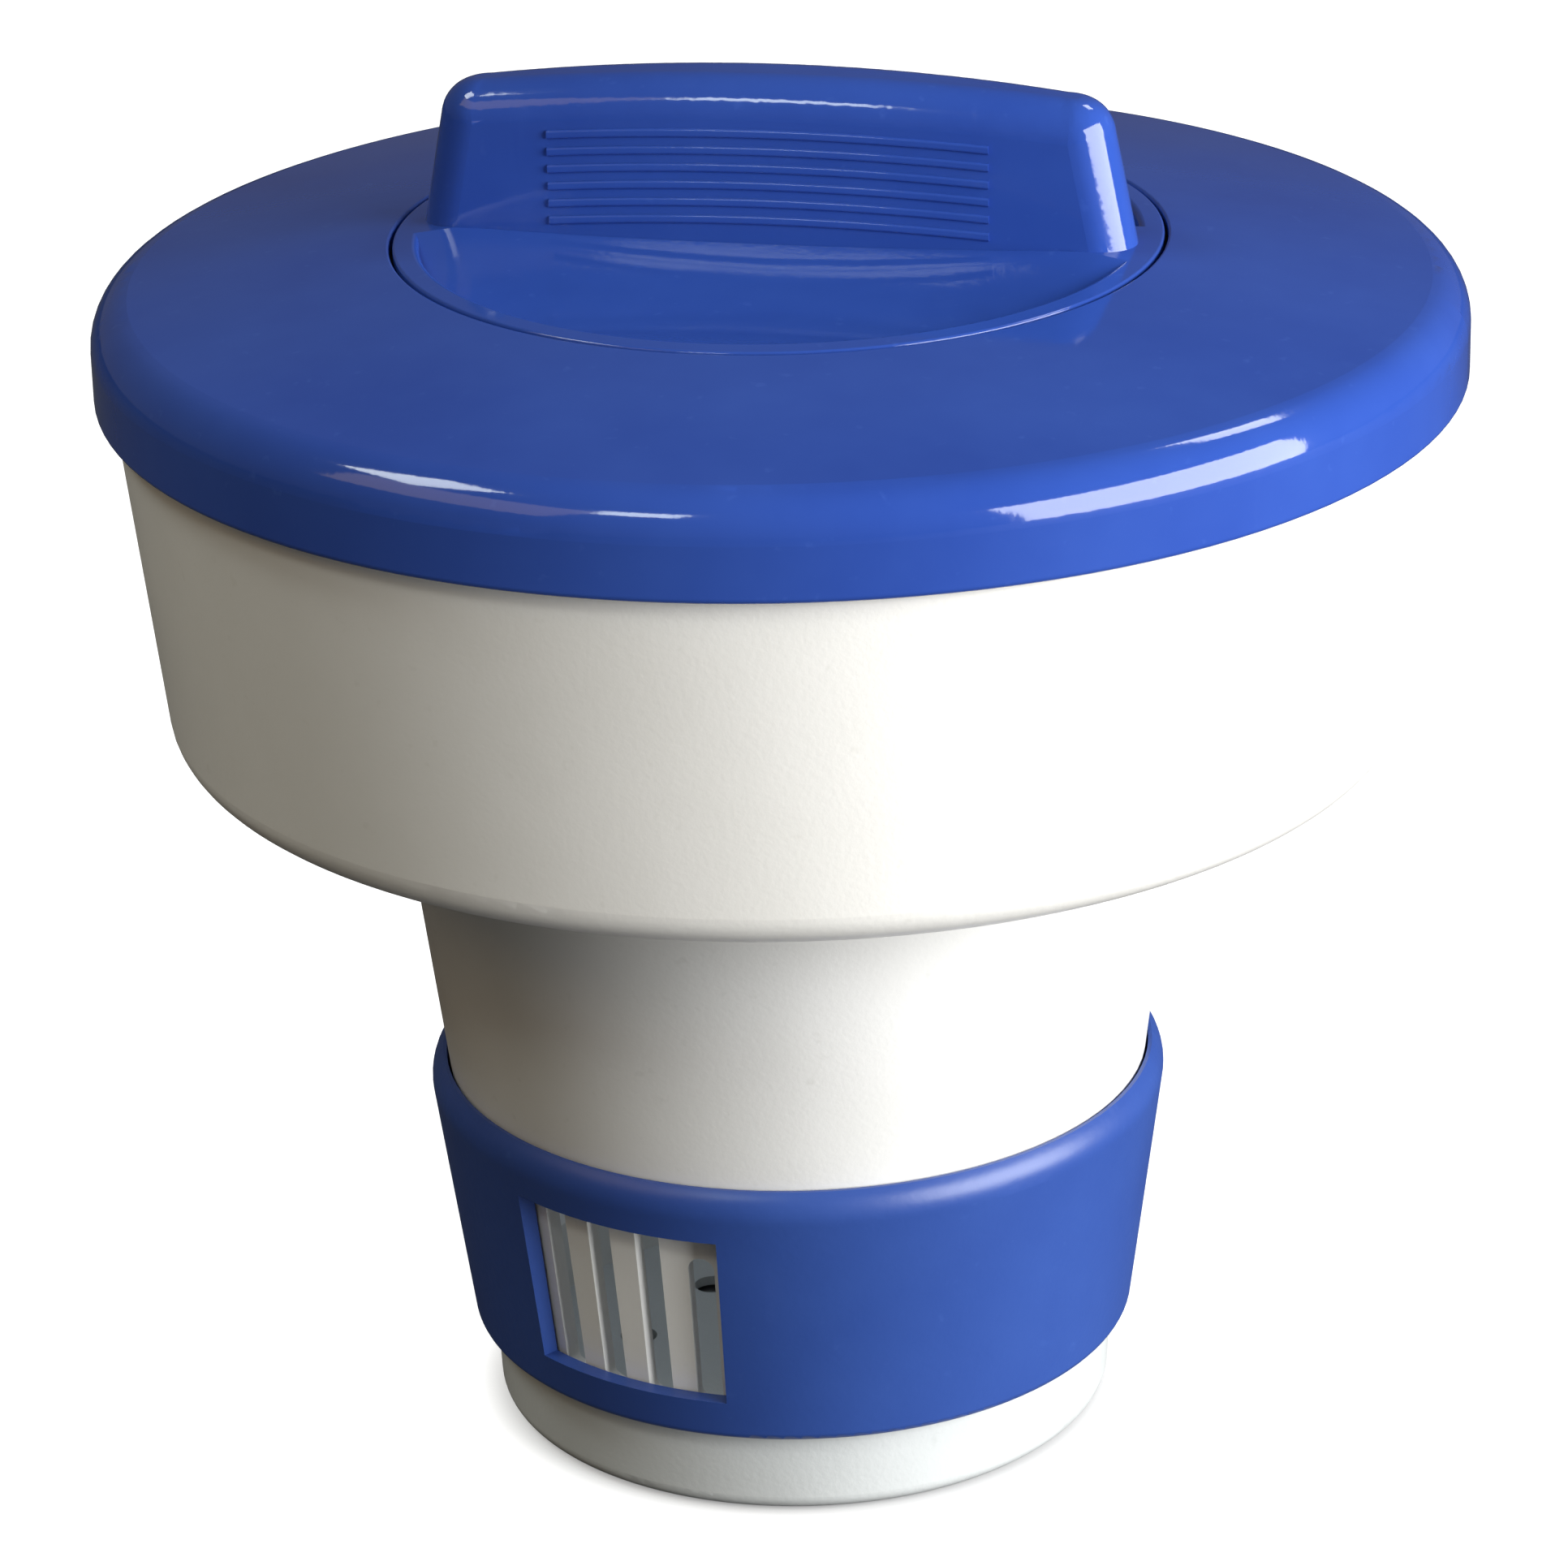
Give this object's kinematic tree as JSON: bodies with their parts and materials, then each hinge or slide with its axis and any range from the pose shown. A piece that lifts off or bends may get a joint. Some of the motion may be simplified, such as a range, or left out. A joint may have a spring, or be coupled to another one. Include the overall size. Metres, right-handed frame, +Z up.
{
  "type": "floating chlorine dispenser",
  "caption": "Floating pool chlorine dispenser: hollow float bowl with a domed deck and twist cap over a tapered tablet canister with a turning dosing ring.",
  "frame": {"origin": "centre of the foot's standing face, on the dispenser's vertical axis", "axes": "+Z up along the axis the cap and ring turn about; the cap's fin lies along X when closed; the ring's first window faces -Y, a little towards -X"},
  "size_m": [0.18, 0.18, 0.1881],
  "materials": {
    "blue_plastic": "glossy moulded",
    "white_plastic": "satin moulded",
    "seal_rubber": "matt"
  },
  "bodies": {
    "float": {"canister": "white_plastic", "foot_cap": "white_plastic", "float_bowl": "white_plastic", "bowl_seal": "seal_rubber", "tablet_tube": "white_plastic", "tube_seal": "seal_rubber", "rim_gasket": "seal_rubber", "deck": "blue_plastic"},
    "seal": {"cap_seal": "seal_rubber"},
    "cap": {"cap": "blue_plastic"},
    "ring": {"dosing_ring": "blue_plastic"}
  },
  "joints": [
    {"name": "cap_lift", "type": "slide", "parent": "float", "child": "seal", "axis": [0, 0, 1], "range_m": [0, 0.024]},
    {"name": "cap_turn", "type": "hinge", "parent": "seal", "child": "cap", "pos_m": [0, 0, 0.15], "axis": [0, 0, 1], "range_deg": [0, 360]},
    {"name": "ring_turn", "type": "hinge", "parent": "float", "child": "ring", "pos_m": [0, 0, 0.03], "axis": [0, 0, 1], "continuous": true}
  ],
  "couplings": [
    {"joint": "cap_lift", "follows": "cap_turn", "m_per_rad": 0.003819}
  ]
}
